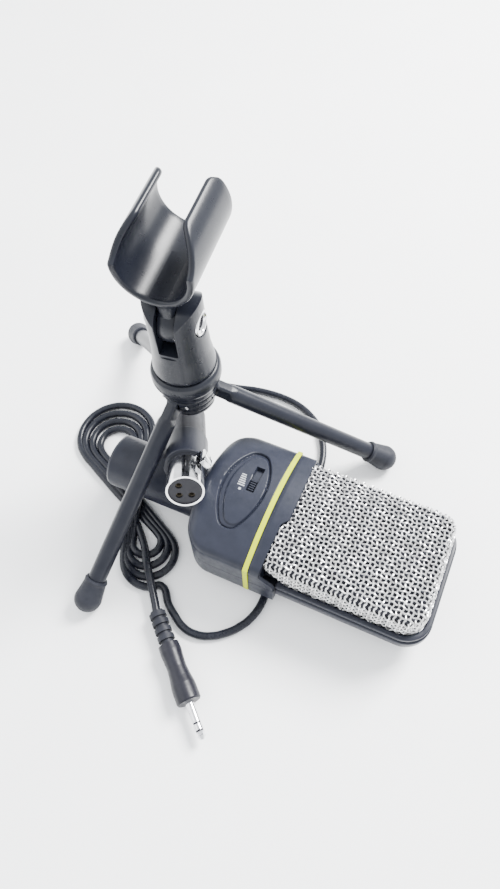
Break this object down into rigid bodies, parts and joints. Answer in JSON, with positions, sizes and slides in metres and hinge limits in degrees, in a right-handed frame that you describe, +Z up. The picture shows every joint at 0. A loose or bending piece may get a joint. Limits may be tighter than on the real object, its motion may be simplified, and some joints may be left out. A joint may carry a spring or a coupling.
{
  "type": "desktop microphone",
  "caption": "Side-address microphone lying beside a folding table tripod with a swivelling clip, with its lead, cable connector and stereo jack plug.",
  "frame": {"origin": "bottom centre of the box round the microphone and its stand, on the table", "axes": "+X along the microphone from its handle to its head, +Z up from the table"},
  "size_m": [0.1906, 0.1712, 0.1419],
  "materials": {
    "black_plastic": "satin moulded ABS, fine texture",
    "black_paint": "satin black paint on steel tube",
    "black_rubber": "soft rubber, slight sheen",
    "lime_plastic": "gloss yellow-green plastic",
    "black_pvc": "moulded PVC, satin",
    "plain_steel": "plain zinc-plated steel",
    "wire_mesh": "woven bright wire",
    "dark_foam": "open-cell foam",
    "brass": "plated brass",
    "circuit_board": "solder-masked board",
    "chrome": "bright nickel plate",
    "connector_black": "satin black lacquer on die-cast shell",
    "cable_jacket": "glossy black PVC jacket"
  },
  "bodies": {
    "microphone": {"front_shell": "black_plastic", "rear_shell": "black_plastic", "accent_ring": "lime_plastic", "switch_plate": "black_plastic", "switch_body": "plain_steel", "head_frame_front": "black_plastic", "head_frame_rear": "black_plastic", "front_grille": "wire_mesh", "rear_grille": "wire_mesh", "foam_front": "dark_foam", "foam_rear": "dark_foam", "capsule": "brass", "capsule_holder": "black_pvc", "circuit_board": "circuit_board", "board_parts": "plain_steel", "housing_screws": "plain_steel", "handle": "black_plastic", "xlr_male_insert": "black_pvc", "xlr_male_pins": "brass", "xlr_barrel": "chrome", "xlr_insert": "black_pvc", "xlr_contacts": "brass", "xlr_shell": "connector_black", "xlr_sleeve": "connector_black", "xlr_clamp": "black_pvc", "xlr_boot": "black_pvc", "cable_feed": "cable_jacket", "cable_hank": "cable_jacket", "cable_tail": "cable_jacket", "plug_boot": "black_pvc", "plug_body": "black_pvc", "plug_sleeve": "chrome", "plug_ring": "chrome", "plug_tip": "chrome", "plug_insulators": "black_pvc"},
    "switch_slider": {"switch_knob": "black_pvc"},
    "connector_latch": {"xlr_latch": "chrome"},
    "stand": {"leg_hub": "black_plastic", "hub_cap": "black_plastic", "hub_stud": "plain_steel", "leg_pins": "plain_steel"},
    "leg_front_body": {"leg_front": "black_paint", "leg_end_front": "black_plastic", "foot_front": "black_rubber"},
    "leg_right_body": {"leg_right": "black_paint", "leg_end_right": "black_plastic", "foot_right": "black_rubber"},
    "leg_back_body": {"leg_back": "black_paint", "leg_end_back": "black_plastic", "foot_back": "black_rubber"},
    "clip_swivel_body": {"clip_base": "black_plastic", "thread_insert": "brass", "clip_bolt": "plain_steel", "clip_nut": "chrome"},
    "clip_body": {"mic_clip": "black_plastic"}
  },
  "joints": [
    {"name": "stand_lift", "type": "slide", "parent": "microphone", "child": "stand", "axis": [0, 0, 1], "range_m": [0, 0.15]},
    {"name": "leg_front_fold", "type": "hinge", "parent": "stand", "child": "leg_front_body", "pos_m": [-0.02618, 0.00596, 0.059], "axis": [0.9871, -0.1599, 0], "range_deg": [0, 54.5]},
    {"name": "leg_right_fold", "type": "hinge", "parent": "stand", "child": "leg_right_body", "pos_m": [-0.01632, 0.01804, 0.059], "axis": [-0.3551, 0.9348, 0], "range_deg": [0, 54.5]},
    {"name": "leg_back_fold", "type": "hinge", "parent": "stand", "child": "leg_back_body", "pos_m": [-0.03171, 0.02053, 0.059], "axis": [-0.632, -0.7749, 0], "range_deg": [0, 54.5]},
    {"name": "clip_swivel", "type": "hinge", "parent": "stand", "child": "clip_swivel_body", "pos_m": [-0.02474, 0.01484, 0.0742], "axis": [0, 0, 1], "continuous": true},
    {"name": "clip_tilt", "type": "hinge", "parent": "clip_swivel_body", "child": "clip_body", "pos_m": [-0.02474, 0.01484, 0.0989], "axis": [0.9945, 0.1045, 0], "range_deg": [-54, 78]},
    {"name": "switch_slide", "type": "slide", "parent": "microphone", "child": "switch_slider", "axis": [0, 1, 0], "range_m": [0, 0.004]},
    {"name": "latch_press", "type": "slide", "parent": "microphone", "child": "connector_latch", "axis": [-0.6708, -0.5768, -0.4662], "range_m": [0, 0.0008], "stiffness_N_per_m": 900}
  ],
  "couplings": [
    {"joint": "leg_front_fold", "follows": "stand_lift", "rad_per_m": 6.34},
    {"joint": "leg_right_fold", "follows": "stand_lift", "rad_per_m": 6.34},
    {"joint": "leg_back_fold", "follows": "stand_lift", "rad_per_m": 6.34}
  ]
}
